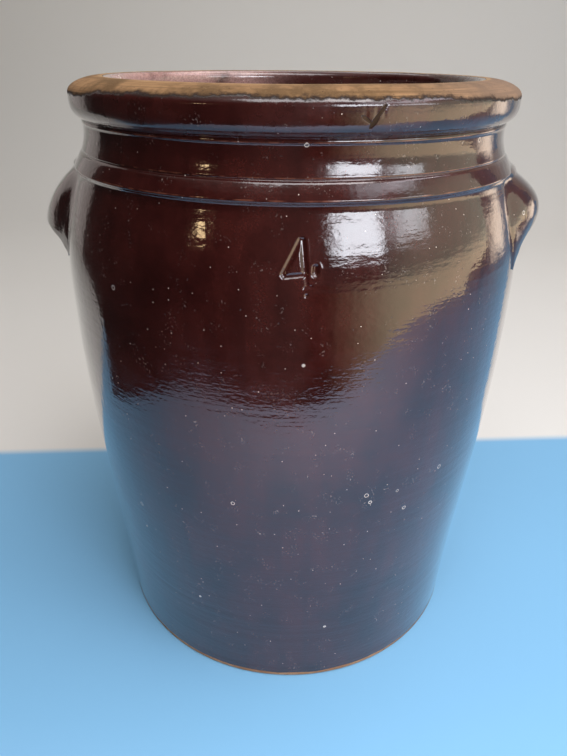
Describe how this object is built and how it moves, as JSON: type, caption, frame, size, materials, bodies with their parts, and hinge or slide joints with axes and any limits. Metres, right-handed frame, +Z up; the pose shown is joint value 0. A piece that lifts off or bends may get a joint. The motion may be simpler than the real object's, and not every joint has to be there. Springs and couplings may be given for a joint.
{
  "type": "stoneware crock",
  "caption": "Tall thrown storage crock with a flat foot, a full shoulder under a ringed neck, a thick rolled rim and crescent lug ears for lifting; holds food in bulk.",
  "frame": {"origin": "centre of the foot's flat underside, on the ground and on the axis that the crock was thrown about", "axes": "+Z up along the crock's axis, +X towards the right ear, -Y towards the front, where the numeral is"},
  "size_m": [0.3021, 0.274, 0.355],
  "materials": {
    "slip_glaze": "glossy brown-black slip glaze, a little uneven",
    "ear_glaze": "glossy brown-black slip glaze, maroon where it is thin",
    "rim_clay": "bare fired clay on the crown, glossy slip glaze below it and inside",
    "bare_clay": "bare fired clay underneath, slip glaze inside"
  },
  "bodies": {
    "root": {"crock_floor": "bare_clay", "crock_wall": "slip_glaze", "rolled_rim": "rim_clay", "left_ear": "ear_glaze", "right_ear": "ear_glaze"}
  },
  "joints": []
}
